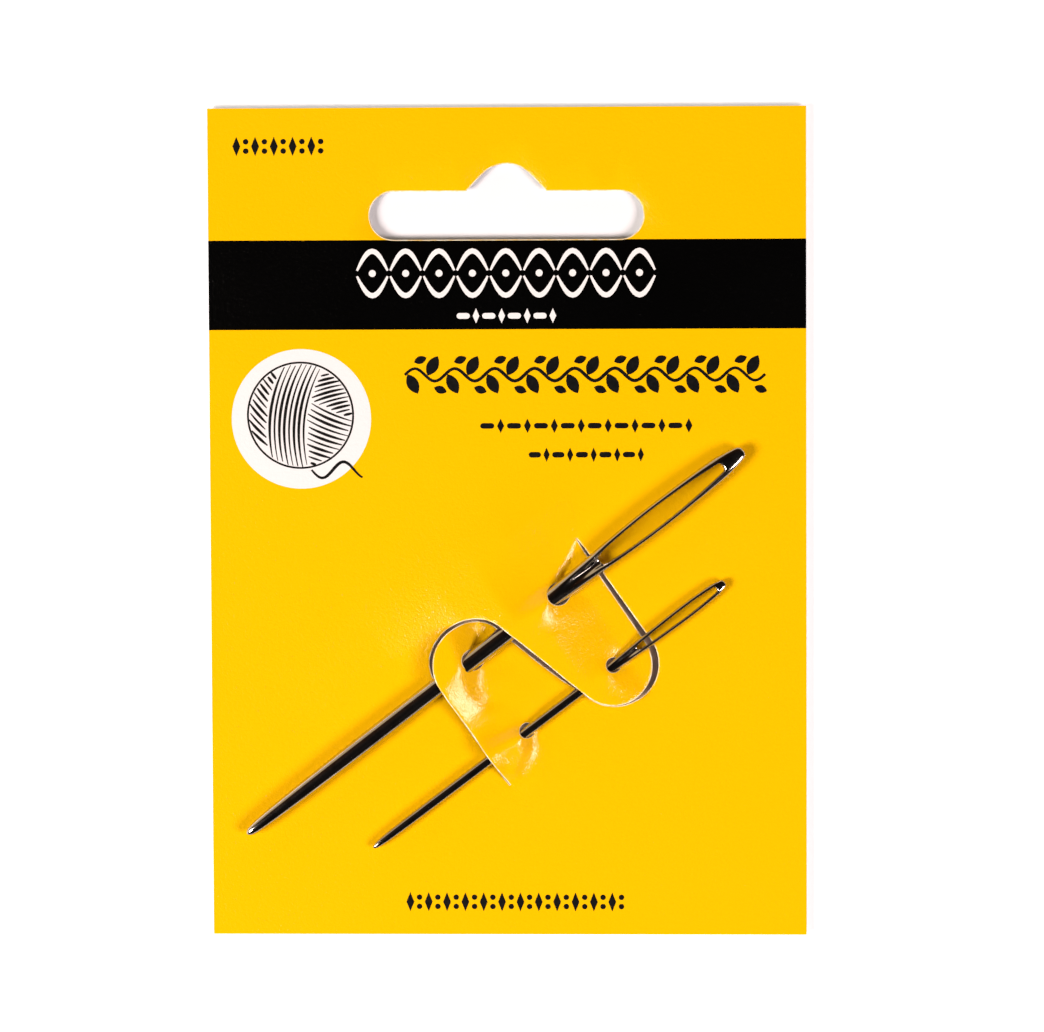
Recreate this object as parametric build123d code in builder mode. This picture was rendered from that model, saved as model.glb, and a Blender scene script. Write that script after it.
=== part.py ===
from build123d import *
import math
import os

os.makedirs("parts", exist_ok=True)

# Frame: the card lies face up in XY with its back on Z = 0. X runs to the right
# and Y to the hanging slot, and the origin is the centre of the card's back.

# The card
card_width = 70.0
card_height = 97.3
board = 0.45

# The hanging slot, a straight slot with a hump over its middle
slot_width = 32.1
slot_height = 5.63
slot_top = 9.8
hump_rise = 3.2
hump_radius = 3.9
hump_foot = 9.4

# The S-shaped cut, in a frame of its own: X along the needles, towards their eyes
cut_angle = 37.5
cut_x = 4.1
cut_y = -16.4
cut_gap = 0.4
tongue_end_radius = 4.85
tongue_end_along = 6.45
tongue_end_across = 5.2
cut_start_along = 12.0
cut_start_across = 9.15
bent_area_margin = 3.0

# The tongues: where each one climbs from under a needle to over it
right_hole_along = 6.45
left_hole_along = -6.35
hole_ramp_slack = 0.3
right_middle_start = 11.0
right_middle_end = 1.0
left_middle_start = -6.0
left_middle_end = -11.5
end_ramp = 6.0
right_root_across = 13.3
left_root_across = -12.6

# The large needle
large_length = 74.0
large_shaft = 2.2
large_across = 5.36
large_skew = 0.19
large_point = 17.7
large_head_length = 30.0
large_head_along = 3.89
large_head_width = 3.2
large_head_depth = 1.9
large_eye_length = 18.2
large_eye_width = 1.88
large_eye_land = 3.1
large_gutter_length = 5.6
large_gutter_depth = 0.4

# The small needle
small_length = 52.1
small_shaft = 1.25
small_across = -5.34
small_skew = -0.37
small_point = 6.5
small_head_length = 17.6
small_head_along = 5.17
small_head_width = 1.9
small_head_depth = 1.15
small_eye_length = 11.7
small_eye_width = 0.84
small_eye_land = 1.3
small_gutter_length = 3.4
small_gutter_depth = 0.25

# Clearances
needle_clearance = 0.1
passage_clearance_share = 0.8
punch_clearance = 0.3

# Heights that follow from the sizes above
large_radius = large_shaft / 2
small_radius = small_shaft / 2
large_axis_height = board + needle_clearance + large_radius
small_axis_height = board + needle_clearance + small_radius
large_rise = large_axis_height + large_radius + needle_clearance
small_rise = small_axis_height + small_radius + needle_clearance

# Places along each needle, from its tip
large_head_start = large_length - large_head_length
small_head_start = small_length - small_head_length
large_eye_end = large_length - large_eye_land
small_eye_end = small_length - small_eye_land
large_eye_start = large_eye_end - large_eye_length
small_eye_start = small_eye_end - small_eye_length
large_gutter_start = large_eye_start - large_gutter_length
small_gutter_start = small_eye_start - small_gutter_length
large_gutter_end = large_eye_start + large_gutter_depth
small_gutter_end = small_eye_start + small_gutter_depth

# How far each tip reaches to the left of the cut's centre
large_tip_along = large_head_along - large_head_start
small_tip_along = small_head_along - small_head_start

# How much higher the tongues lie for each step across, towards the large needle
rise_slope = (large_rise - small_rise) / (large_across - small_across)

cut_frame = Plane(
    origin=(cut_x, cut_y, 0),
    x_dir=(math.cos(math.radians(cut_angle)), math.sin(math.radians(cut_angle)), 0),
    z_dir=(0, 0, 1),
)

# The square of board that is bent and cut, from its centre to its sides
bent_half = max(cut_start_along, right_root_across, -left_root_across) + bent_area_margin / 2

# Each row is the share of the way to a needle's full section, then the share of
# the shaft's width that is left there
point_shares = [
    (0.03, 0.42),
    (0.12, 0.68),
    (0.3, 0.83),
    (0.55, 0.93),
]

# The round of the tip, halfway to the first row's width
blunt_length_share = 0.25
blunt_width_share = 0.6

# The eye's ends as shares of its width, and its widest place as a share of its length
eye_low_length_share = 0.33
eye_low_width_share = 0.34
eye_high_length_share = 0.25
eye_high_width_share = 0.24
eye_widest_share = 0.45

# Each row is a place along the head as a share of its length, then how much of
# the way from the shaft to the full head the width and the depth have gone
head_shares = [
    (0.0, 0.0, 0.0),
    (0.16, 0.12, 0.0),
    (0.32, 0.55, 0.4),
    (0.42, 0.84, 0.8),
    (0.58, 1.0, 1.0),
    (0.76, 0.88, 1.0),
]

# The rounded end of the head: length left as a share of the head's length, then
# the share that is left of the head's width and depth
head_end_shares = [
    (0.12, 0.915),
    (0.075, 0.84),
    (0.035, 0.66),
    (0.01, 0.44),
    (0.0, 0.26),
]


def touch_angle(point_x, point_y, centre_x, centre_y, radius, side):
    """Where a line from a point touches a circle, as an angle on the circle."""
    gap_x = point_x - centre_x
    gap_y = point_y - centre_y
    base = math.degrees(math.atan2(gap_y, gap_x))
    return base + side * math.degrees(math.acos(radius / math.hypot(gap_x, gap_y)))


def cut_path_ends():
    """Angles at which the S-shaped cut leaves the round end of the right tongue."""
    centre = (tongue_end_along, -tongue_end_across)
    start = touch_angle(cut_start_along, cut_start_across, *centre, tongue_end_radius, -1)
    end = touch_angle(0, 0, *centre, tongue_end_radius, 1) - 360
    return start, end


def on_end_circle(angle):
    """A point on the round end of the right tongue."""
    turn = math.radians(angle)
    return (
        tongue_end_along + tongue_end_radius * math.cos(turn),
        -tongue_end_across + tongue_end_radius * math.sin(turn),
    )


def draw_cut():
    """Draw the S-shaped cut from its right start to its left one."""
    start, end = cut_path_ends()
    right_touch = on_end_circle(start)
    middle_touch = on_end_circle(end)
    Line((cut_start_along, cut_start_across), right_touch)
    CenterArc((tongue_end_along, -tongue_end_across), tongue_end_radius, start, end - start)
    Line(middle_touch, (-middle_touch[0], -middle_touch[1]))
    CenterArc((-tongue_end_along, tongue_end_across), tongue_end_radius, end + 180, start - end)
    Line((-right_touch[0], -right_touch[1]), (-cut_start_along, -cut_start_across))


def draw_side_of_cut(side):
    """Draw the half of the bent square above (1) or below (-1) the cut."""
    draw_cut()
    Polyline(
        (-cut_start_along, -cut_start_across),
        (-bent_half, -cut_start_across),
        (-bent_half, side * bent_half),
        (bent_half, side * bent_half),
        (bent_half, cut_start_across),
        (cut_start_along, cut_start_across),
    )


def draw_bump(rise, ramp_start, ramp_end, fade_start, fade_end):
    """Draw the board's section: flat, up over a needle, along and down again."""
    for lift in (0, board):
        Line((bent_half, lift), (ramp_start, lift))
        ramp_middle = (ramp_start + ramp_end) / 2
        Bezier(
            (ramp_start, lift),
            (ramp_middle, lift),
            (ramp_middle, lift + rise),
            (ramp_end, lift + rise),
        )
        Line((ramp_end, lift + rise), (fade_start, lift + rise))
        fade_middle = (fade_start + fade_end) / 2
        Bezier(
            (fade_start, lift + rise),
            (fade_middle, lift + rise),
            (fade_middle, lift),
            (fade_end, lift),
        )
        Line((fade_end, lift), (-bent_half, lift))
    Line((bent_half, 0), (bent_half, board))
    Line((-bent_half, 0), (-bent_half, board))


def across_plane(across):
    """The upright plane along the needles at one place across the cut."""
    return Plane(
        origin=cut_frame.from_local_coords((0, across, 0)),
        x_dir=cut_frame.x_dir,
        z_dir=-cut_frame.y_dir,
    )


def needle_frame(along, across, skew, height):
    """The frame of a needle: origin at its tip and X along its axis."""
    turn = math.radians(cut_angle + skew)
    direction = Vector(math.cos(turn), math.sin(turn), 0)
    start = cut_frame.from_local_coords((0, across, height))
    sideways = direction.dot(cut_frame.x_dir)
    return Plane(origin=start + direction * (along / sideways), x_dir=direction, z_dir=(0, 0, 1))


def section_plane(frame, distance):
    """The plane square to a needle at a distance from its tip."""
    return Plane(
        origin=frame.from_local_coords((distance, 0, 0)),
        x_dir=frame.y_dir,
        z_dir=frame.x_dir,
    )


def rise_at(across):
    """How high a tongue lies over the needles, in line with what holds it up."""
    return small_rise + rise_slope * (across - small_across)


large_frame = needle_frame(large_tip_along, large_across, large_skew, large_axis_height)
small_frame = needle_frame(small_tip_along, small_across, small_skew, small_axis_height)

# Half of a ramp where a needle passes the sheet: its punched hole and some slack
large_hole_radius = large_radius + punch_clearance
small_hole_radius = small_radius + punch_clearance
large_ramp = large_hole_radius + hole_ramp_slack / 2
small_ramp = small_hole_radius + hole_ramp_slack
middle_across = (large_across + small_across) / 2
root_fall_across = (cut_start_across + right_root_across) / 2
fade_outside = cut_start_along + cut_gap

# The upper half of the bent square, with the right tongue. It rises to the left
# of the right holes, and its root comes down to the flat card behind its bend.
root_rise = large_rise * (right_root_across - root_fall_across) / (right_root_across - large_across)
round_reach = tongue_end_along - tongue_end_radius
right_stations = [
    (bent_half, 0, end_ramp, end_ramp / 2, -round_reach, -tongue_end_along),
    (right_root_across, 0, end_ramp, end_ramp / 2, -round_reach, -tongue_end_along),
    (
        root_fall_across,
        root_rise / 2,
        right_hole_along + end_ramp / 4,
        right_hole_along - end_ramp / 2,
        -round_reach,
        -tongue_end_along,
    ),
    (
        large_across,
        large_rise,
        right_hole_along + large_ramp,
        right_hole_along - large_ramp,
        -tongue_end_along,
        -tongue_end_along - tongue_end_radius / 2,
    ),
    (
        middle_across,
        rise_at(middle_across),
        right_middle_start,
        right_middle_end,
        -tongue_end_along,
        -tongue_end_along - tongue_end_radius / 2,
    ),
    (
        small_across,
        small_rise,
        right_hole_along + small_ramp,
        right_hole_along - small_ramp,
        -tongue_end_along,
        -tongue_end_along - tongue_end_radius / 2,
    ),
    (
        -bent_half,
        rise_at(-bent_half),
        right_hole_along + end_ramp / 2,
        right_hole_along - end_ramp / 2,
        -tongue_end_along,
        -tongue_end_along - tongue_end_radius / 2,
    ),
]

with BuildPart() as upper_sheet:
    for across, rise, ramp_start, ramp_end, fade_start, fade_end in right_stations:
        with BuildSketch(across_plane(across)):
            with BuildLine():
                draw_bump(rise, ramp_start, ramp_end, fade_start, fade_end)
            make_face()
    loft(ruled=True)
    with BuildSketch(cut_frame):
        with BuildLine():
            draw_side_of_cut(-1)
        make_face()
    extrude(amount=bent_half, both=True, mode=Mode.SUBTRACT)
    with BuildSketch(cut_frame):
        with BuildLine():
            draw_cut()
        trace(line_width=cut_gap)
    extrude(amount=bent_half, both=True, mode=Mode.SUBTRACT)

# The lower half, with the left tongue, which rises to the left of its holes. The
# start of the cut stays flat, so the raised edge falls to it across the root.
left_fall_rise = small_rise / 4
left_stations = [
    (
        bent_half,
        rise_at(bent_half),
        left_hole_along + end_ramp / 2,
        left_hole_along - end_ramp / 2,
        -fade_outside,
        -bent_half + cut_gap,
    ),
    (
        large_across,
        large_rise,
        left_hole_along + large_ramp,
        left_hole_along - large_ramp,
        -fade_outside,
        -bent_half + cut_gap,
    ),
    (
        middle_across,
        rise_at(middle_across),
        left_middle_start,
        left_middle_end,
        -fade_outside,
        -bent_half + cut_gap,
    ),
    (
        small_across,
        small_rise,
        left_hole_along + small_ramp,
        left_hole_along - small_ramp,
        -fade_outside,
        -bent_half + cut_gap,
    ),
    (
        -cut_start_across,
        left_fall_rise,
        left_hole_along,
        left_hole_along - end_ramp / 3,
        left_hole_along - end_ramp / 2,
        -cut_start_along,
    ),
    (
        left_root_across,
        0,
        left_hole_along,
        left_hole_along - end_ramp / 3,
        -fade_outside,
        -bent_half + cut_gap,
    ),
    (
        -bent_half,
        0,
        left_hole_along,
        left_hole_along - end_ramp / 3,
        -fade_outside,
        -bent_half + cut_gap,
    ),
]

with BuildPart() as lower_sheet:
    for across, rise, ramp_start, ramp_end, fade_start, fade_end in left_stations:
        with BuildSketch(across_plane(across)):
            with BuildLine():
                draw_bump(rise, ramp_start, ramp_end, fade_start, fade_end)
            make_face()
    loft(ruled=True)
    with BuildSketch(cut_frame):
        with BuildLine():
            draw_side_of_cut(1)
        make_face()
    extrude(amount=bent_half, both=True, mode=Mode.SUBTRACT)
    with BuildSketch(cut_frame):
        with BuildLine():
            draw_cut()
        trace(line_width=cut_gap)
    extrude(amount=bent_half, both=True, mode=Mode.SUBTRACT)

slot_y = card_height / 2 - slot_top - slot_height / 2
hump_top = slot_y + slot_height / 2 + hump_rise
hump_centre_y = hump_top - hump_radius

with BuildPart() as card:
    with BuildSketch():
        Rectangle(card_width, card_height)
        with Locations((0, slot_y)):
            SlotOverall(slot_width, slot_height, mode=Mode.SUBTRACT)
        with BuildLine():
            foot = (hump_foot / 2, slot_y + slot_height / 2)
            turn = touch_angle(*foot, 0, hump_centre_y, hump_radius, 1)
            touch_x = hump_radius * math.cos(math.radians(turn))
            touch_y = hump_centre_y + hump_radius * math.sin(math.radians(turn))
            Line((-foot[0], slot_y), (foot[0], slot_y))
            Line((foot[0], slot_y), foot)
            Line(foot, (touch_x, touch_y))
            ThreePointArc((touch_x, touch_y), (0, hump_top), (-touch_x, touch_y))
            Line((-touch_x, touch_y), (-foot[0], foot[1]))
            Line((-foot[0], foot[1]), (-foot[0], slot_y))
        make_face(mode=Mode.SUBTRACT)
    extrude(amount=board)
    with BuildSketch(cut_frame):
        Rectangle(2 * bent_half, 2 * bent_half)
    extrude(amount=board, mode=Mode.SUBTRACT)
    add(upper_sheet.part)
    add(lower_sheet.part)
    # The punched holes
    with BuildSketch(cut_frame):
        with Locations((right_hole_along, large_across), (left_hole_along, large_across)):
            Circle(large_hole_radius)
        with Locations((right_hole_along, small_across), (left_hole_along, small_across)):
            Circle(small_hole_radius)
    extrude(amount=bent_half, both=True, mode=Mode.SUBTRACT)
    # The hole edges bend away from each needle
    with BuildSketch(section_plane(large_frame, 0)):
        Circle(large_radius + needle_clearance * passage_clearance_share)
    extrude(amount=large_length, mode=Mode.SUBTRACT)
    with BuildSketch(section_plane(small_frame, 0)):
        Circle(small_radius + needle_clearance * passage_clearance_share)
    extrude(amount=small_length, mode=Mode.SUBTRACT)
card.part.label = "card"


def draw_shaft(length, radius, point):
    """Draw half of a needle's round shaft, from its blunt tip."""
    places = [(share * point, left * radius) for share, left in point_shares]
    first_along, first_across = places[0]
    blunt = (first_along * blunt_length_share, first_across * blunt_width_share)
    ThreePointArc((0, 0), blunt, places[0])
    Spline(*places, (point, radius), tangents=[(1, 1), (1, 0)])
    Line((point, radius), (length, radius))
    Line((length, radius), (length, 0))
    Line((length, 0), (0, 0))


def head_sections(length, start, shaft, width, depth):
    """Where the widening head's sections stand, and their half widths and depths."""
    sections = []
    for place, wide, deep in head_shares:
        half_width = (shaft + (width - shaft) * wide) / 2
        half_depth = (shaft + (depth - shaft) * deep) / 2
        sections.append((start + place * (length - start), half_width, half_depth))
    left, size = head_end_shares[0]
    sections.append((length - left * (length - start), width * size / 2, depth * size / 2))
    return sections


def head_end_sections(length, start, width, depth):
    """Where the sections of the head's rounded end stand, and their half sizes."""
    return [
        (length - left * (length - start), width * size / 2, depth * size / 2)
        for left, size in head_end_shares
    ]


def draw_gutter(start, end, depth):
    """Draw half of the spindle that presses a gutter into a needle."""
    middle = (start + end) / 2
    ThreePointArc((start, 0), (middle, depth), (end, 0))
    Line((end, 0), (start, 0))


def side_frame(frame, height):
    """A needle's frame, moved up or down to one of its sides."""
    return Plane(
        origin=frame.from_local_coords((0, 0, height)),
        x_dir=frame.x_dir,
        z_dir=frame.z_dir,
    )


def draw_eye(start, end, width):
    """Draw a needle's eye: bowed sides, a round lower end and a narrower upper one."""
    length = end - start
    low = (start + width * eye_low_length_share, width * eye_low_width_share)
    high = (end - width * eye_high_length_share, width * eye_high_width_share)
    widest = (start + length * eye_widest_share, width / 2)
    ThreePointArc((low[0], -low[1]), (start, 0), low)
    ThreePointArc(low, widest, high)
    ThreePointArc(high, (end, 0), (high[0], -high[1]))
    ThreePointArc((high[0], -high[1]), (widest[0], -widest[1]), (low[0], -low[1]))


with BuildPart() as large_needle:
    with BuildSketch(large_frame):
        with BuildLine():
            draw_shaft(large_head_start, large_radius, large_point)
        make_face()
    revolve(axis=Axis(large_frame.origin, large_frame.x_dir))
    for place, half_width, half_depth in head_sections(
        large_length, large_head_start, large_shaft, large_head_width, large_head_depth
    ):
        with BuildSketch(section_plane(large_frame, place)):
            Ellipse(half_width, half_depth)
    loft()
    for place, half_width, half_depth in head_end_sections(
        large_length, large_head_start, large_head_width, large_head_depth
    ):
        with BuildSketch(section_plane(large_frame, place)):
            Ellipse(half_width, half_depth)
    loft()
    with BuildSketch(large_frame):
        with BuildLine():
            draw_eye(large_eye_start, large_eye_end, large_eye_width)
        make_face()
    extrude(amount=large_head_width, both=True, mode=Mode.SUBTRACT)
    for side in (large_radius, -large_radius):
        gutter_frame = side_frame(large_frame, side)
        with BuildSketch(gutter_frame):
            with BuildLine():
                draw_gutter(large_gutter_start, large_gutter_end, large_gutter_depth)
            make_face()
        revolve(axis=Axis(gutter_frame.origin, gutter_frame.x_dir), mode=Mode.SUBTRACT)
large_needle.part.label = "large_needle"

with BuildPart() as small_needle:
    with BuildSketch(small_frame):
        with BuildLine():
            draw_shaft(small_head_start, small_radius, small_point)
        make_face()
    revolve(axis=Axis(small_frame.origin, small_frame.x_dir))
    for place, half_width, half_depth in head_sections(
        small_length, small_head_start, small_shaft, small_head_width, small_head_depth
    ):
        with BuildSketch(section_plane(small_frame, place)):
            Ellipse(half_width, half_depth)
    loft()
    for place, half_width, half_depth in head_end_sections(
        small_length, small_head_start, small_head_width, small_head_depth
    ):
        with BuildSketch(section_plane(small_frame, place)):
            Ellipse(half_width, half_depth)
    loft()
    with BuildSketch(small_frame):
        with BuildLine():
            draw_eye(small_eye_start, small_eye_end, small_eye_width)
        make_face()
    extrude(amount=small_head_width, both=True, mode=Mode.SUBTRACT)
    for side in (small_radius, -small_radius):
        gutter_frame = side_frame(small_frame, side)
        with BuildSketch(gutter_frame):
            with BuildLine():
                draw_gutter(small_gutter_start, small_gutter_end, small_gutter_depth)
            make_face()
        revolve(axis=Axis(gutter_frame.origin, gutter_frame.x_dir), mode=Mode.SUBTRACT)
small_needle.part.label = "small_needle"

export_step(card.part, "parts/card.step")
export_step(large_needle.part, "parts/large_needle.step")
export_step(small_needle.part, "parts/small_needle.step")

print("card", card.part.is_valid, card.part.volume, len(card.part.solids()))
print("large needle", large_needle.part.is_valid, large_needle.part.volume)
print("small needle", small_needle.part.is_valid, small_needle.part.volume)
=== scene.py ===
import math

import bpy
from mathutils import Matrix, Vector
from mathutils.geometry import delaunay_2d_cdt
from mathutils.kdtree import KDTree


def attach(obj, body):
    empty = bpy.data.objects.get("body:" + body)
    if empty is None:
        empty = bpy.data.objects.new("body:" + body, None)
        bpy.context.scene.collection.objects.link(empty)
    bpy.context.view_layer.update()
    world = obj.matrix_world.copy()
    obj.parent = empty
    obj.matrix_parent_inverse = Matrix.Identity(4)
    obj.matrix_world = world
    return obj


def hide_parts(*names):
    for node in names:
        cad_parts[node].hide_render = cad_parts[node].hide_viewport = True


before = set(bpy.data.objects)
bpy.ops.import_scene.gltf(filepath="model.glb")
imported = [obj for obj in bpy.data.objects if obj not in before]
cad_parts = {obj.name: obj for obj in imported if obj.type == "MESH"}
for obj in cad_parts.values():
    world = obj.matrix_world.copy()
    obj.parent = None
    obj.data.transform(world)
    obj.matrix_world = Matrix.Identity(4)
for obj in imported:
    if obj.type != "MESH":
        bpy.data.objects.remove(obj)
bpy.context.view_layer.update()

# All sizes are in millimetres until a mesh is made
MM = 0.001

# The card, and the pressed rims of its cuts
CARD_WIDTH = 70.0
CARD_HEIGHT = 97.3
BOARD = 0.45
RIM = 0.11
HOLE_RIM = 0.06
RIM_DROP = 0.06

# The card's mesh: half the side of the fine grid, the steps of the grids and
# lines, and how near a grid's points may come to a line or to the card's edge
BENT_HALF = 14.8
PLAIN_STEP = 4.0
MIDDLE_STEP = 1.4
BENT_STEP = 0.38
CUT_STEP = 0.25
HOLE_STEP = 0.2
SLOT_STEP = 0.4
FOLD_STEP = 0.3
BENT_GAP = 0.16
PLAIN_GAP = 0.6
EDGE_GAP = 0.7
MERGE_GAP = 1e-5

# The hanging slot
SLOT_WIDTH = 32.1
SLOT_HEIGHT = 5.63
SLOT_FROM_TOP = 9.8
SLOT_Y = CARD_HEIGHT / 2 - SLOT_FROM_TOP - SLOT_HEIGHT / 2
HUMP_RISE = 3.2
HUMP_RADIUS = 3.9
HUMP_FOOT = 9.4

# The S-shaped cut, in its own frame: along the needles, and across them
CUT_ANGLE = 37.5
CUT_X = 4.1
CUT_Y = -16.4
END_RADIUS = 4.85
END_ALONG = 6.45
END_ACROSS = 5.2
START_ALONG = 12.0
START_ACROSS = 9.15

# Holes: along, across, radius
HOLES = [
    (6.45, 5.3, 1.3),
    (-6.3, 5.3, 1.24),
    (6.42, -5.25, 0.86),
    (-6.4, -5.2, 0.86),
]

# Where the needles lie: the tip's place along the cut, the axis's place across
# it, the axis's height over the card's back, and a small turn in degrees
LARGE_TIP = -40.11
LARGE_ACROSS = 5.36
LARGE_AXIS = 1.65
LARGE_SKEW = 0.19
SMALL_TIP = -29.33
SMALL_ACROSS = -5.34
SMALL_AXIS = 1.175
SMALL_SKEW = -0.37

CUT_COS = math.cos(math.radians(CUT_ANGLE))
CUT_SIN = math.sin(math.radians(CUT_ANGLE))


def to_card(along, across):
    """A place in the cut's frame, in the card's frame."""
    x = CUT_X + along * CUT_COS - across * CUT_SIN
    return x, CUT_Y + along * CUT_SIN + across * CUT_COS


def to_cut(x, y):
    """A place in the card's frame, in the cut's frame."""
    dx, dy = x - CUT_X, y - CUT_Y
    return dx * CUT_COS + dy * CUT_SIN, -dx * CUT_SIN + dy * CUT_COS


def clamp(value, low=0.0, high=1.0):
    return max(low, min(high, value))


def in_box(point, box):
    return box[0] <= point[0] <= box[2] and box[1] <= point[1] <= box[3]


def ease(value):
    """A smooth step from 0 to 1."""
    value = clamp(value)
    return value * value * (3 - 2 * value)


def blend_rows(rows, place):
    """Values at a place between rows that start with their own places."""
    if place <= rows[0][0]:
        return rows[0][1:]
    for low, high in zip(rows, rows[1:]):
        if place <= high[0]:
            part = (place - low[0]) / (high[0] - low[0])
            return [a + (b - a) * part for a, b in zip(low[1:], high[1:])]
    return rows[-1][1:]


# The shape of the bent board


def with_ends(rows, starts, ends):
    """Rows of control points, with the points that all of them share at their ends."""
    return [(across, starts + places + ends) for across, places in rows]


# For each place across the needles, the board's height at places along them.
# The upper sheet is the card above the cut, with the right tongue.
UPPER_ROWS = with_ends([
    (-10.0, [(-9, 0.0), (4.0, 1.8), (5.0, 1.65), (6.4, 1.15), (7.8, 0.6), (9.8, 0.2)]),
    (-7.0, [(-9, 0.0), (2.0, 2.02), (3.2, 1.98), (5.0, 1.82), (8.0, 0.48), (11.0, 0.1)]),
    (-6.15, [(-9, 0.0), (1.7, 2.04), (3.1, 2.02), (5.2, 1.9), (7.5, 0.42), (11.2, 0.08)]),
    (SMALL_ACROSS, [(-9, 0.0), (1.4, 2.05), (3.0, 2.05), (5.5, 2.0), (7.25, 0.12), (11.3, 0.02)]),
    (-4.5, [(-9, 0.0), (1.1, 2.14), (3.0, 2.06), (5.0, 1.6), (7.3, 0.55), (11.3, 0.06)]),
    (-3.2, [(-9, 0.0), (0.6, 2.28), (2.9, 2.16), (4.6, 1.64), (8.4, 0.44), (11.3, 0.08)]),
    (0.0, [(-9, 0.0), (-0.8, 2.52), (2.9, 2.36), (4.6, 1.77), (8.6, 0.4), (11.4, 0.1)]),
    (2.0, [(-9, 0.0), (-2.0, 2.7), (3.1, 2.5), (5.0, 1.81), (8.8, 0.44), (11.5, 0.1)]),
    (4.0, [(-9, 0.0), (-3.0, 2.85), (1.0, 2.8), (3.5, 2.7), (8.4, 0.5), (11.6, 0.1)]),
    (LARGE_ACROSS, [(-9, 0.0), (-4.0, 2.95), (1.0, 2.95), (5.1, 2.95), (7.9, 0.06), (14.0, 0.0)]),
    (7.2, [(-12, 0.12), (-4.2, 2.1), (0.5, 2.4), (5.0, 1.25), (8.5, 0.5), (12.2, 0.0)]),
    (9.15, [(-13, 0.25), (-4.6, 1.7), (0.5, 1.95), (5.0, 1.05), (8.7, 0.42), (12.2, 0.02)]),
    (11.2, [(-14, 0.35), (-4.6, 1.4), (0.5, 1.6), (5.5, 0.9), (9.8, 0.35), (14.0, 0.06)]),
    (14.5, [(-14, 0.3), (-4.6, 0.9), (1.0, 1.15), (5.5, 1.05), (10.0, 0.6), (15.0, 0.2)]),
    (18.0, [(-14, 0.1), (-4.6, 0.35), (1.0, 0.45), (5.5, 0.4), (10.0, 0.25), (15.0, 0.1)]),
    (21.5, [(-14, 0.0), (-4.6, 0.0), (1.0, 0.0), (5.5, 0.0), (10.0, 0.0), (15.0, 0.0)]),
], [(-26, 0.0)], [(26, 0.0)])
# The lower sheet is the card below the cut, with the left tongue
LOWER_ROWS = with_ends([
    (-12.6, [(-14, 0.0), (-12.0, 0.0), (-10.0, 0.0), (-8.5, 0.0), (-6.5, 0.0), (-4.0, 0.0), (2, 0.0)]),
    (-9.15, [(-14, 0.0), (-12.0, 0.0), (-10.2, 0.2), (-8.4, 0.22), (-6.3, 0.06), (-4.0, 0.0), (2, 0.0)]),
    (-8.1, [(-14, 0.7), (-12.0, 0.68), (-10.2, 0.72), (-8.4, 0.42), (-6.2, 0.1), (-4.0, 0.02), (2, 0.0)]),
    (-6.9, [(-14, 2.1), (-11.9, 1.75), (-10.3, 1.42), (-8.4, 1.05), (-6.5, 0.2), (-4.0, 0.02), (2, 0.0)]),
    (SMALL_ACROSS, [
        (-14, 2.8), (-11.9, 2.48), (-10.3, 2.22), (-7.2, 2.0), (-5.5, 0.1), (-3.5, 0.0), (2, 0.0),
    ]),
    (-4.6, [(-14, 2.95), (-11.9, 2.6), (-10.3, 2.2), (-7.6, 1.55), (-5.8, 0.3), (-3.3, 0.03), (2, 0.0)]),
    (-3.6, [(-14, 2.6), (-11.9, 2.15), (-11.0, 1.85), (-9.0, 1.0), (-6.0, 0.35), (-2.5, 0.08), (2, 0.0)]),
    (-2.0, [(-14, 1.8), (-11.9, 1.45), (-11.2, 1.3), (-8.9, 0.78), (-6.0, 0.4), (-1.0, 0.12), (3, 0.06)]),
    (0.0, [(-14, 2.0), (-11.8, 1.66), (-11.1, 1.52), (-9.7, 1.18), (-7.8, 0.45), (-2.0, 0.14), (4, 0.06)]),
    (2.4, [(-14, 2.7), (-11.7, 2.5), (-11.0, 2.32), (-9.3, 1.86), (-7.6, 0.75), (-4.0, 0.22), (4, 0.08)]),
    (4.1, [(-14, 3.05), (-11.5, 2.96), (-10.4, 2.75), (-8.7, 2.4), (-6.0, 0.6), (-3.6, 0.1), (4, 0.06)]),
    (LARGE_ACROSS, [
        (-14, 3.14), (-11.4, 3.12), (-9.5, 2.95), (-8.0, 2.84), (-4.9, 0.08), (-3.0, 0.0), (4, 0.0),
    ]),
    (7.4, [(-14, 3.0), (-11.3, 2.98), (-9.5, 2.8), (-7.2, 2.65), (-4.0, 0.35), (-2.5, 0.05), (4, 0.0)]),
    (9.9, [(-14, 2.9), (-10.5, 2.8), (-9.0, 2.75), (-6.6, 2.5), (-3.2, 0.7), (-2.0, 0.3), (4, 0.0)]),
], [], [(9, 0.0)])
# How far the bent part of the card reaches, as a box in the cut's frame
BENT_BOX = (-27.0, -13.5, 27.0, 22.5)
# The steps to the places whose heights are averaged, and the share of each
SOFT_STEPS = [(-0.45, 0.25), (0.0, 0.5), (0.45, 0.25)]


def row_height(rows, along, across):
    """The height between rows of matching control points."""
    across = clamp(across, rows[0][0], rows[-1][0])
    for (low, low_row), (high, high_row) in zip(rows, rows[1:]):
        if across <= high:
            part = (across - low) / (high - low)
            break
    pairs = zip(low_row, high_row)
    places = [(a[0] + (b[0] - a[0]) * part, a[1] + (b[1] - a[1]) * part) for a, b in pairs]
    return blend_rows(places, along)[0]


def beside(along, across, start, end):
    """How far along a line a place is, as a share, and how far to its right."""
    dx, dy = end[0] - start[0], end[1] - start[1]
    length = math.hypot(dx, dy)
    part = ((along - start[0]) * dx + (across - start[1]) * dy) / length ** 2
    return part, ((along - start[0]) * dy - (across - start[1]) * dx) / length


# Where a crease starts and ends and how slowly it fades, as shares of its line
CREASE_FROM = -0.2
CREASE_TO = 1.1
CREASE_FADE = 0.3


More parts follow.
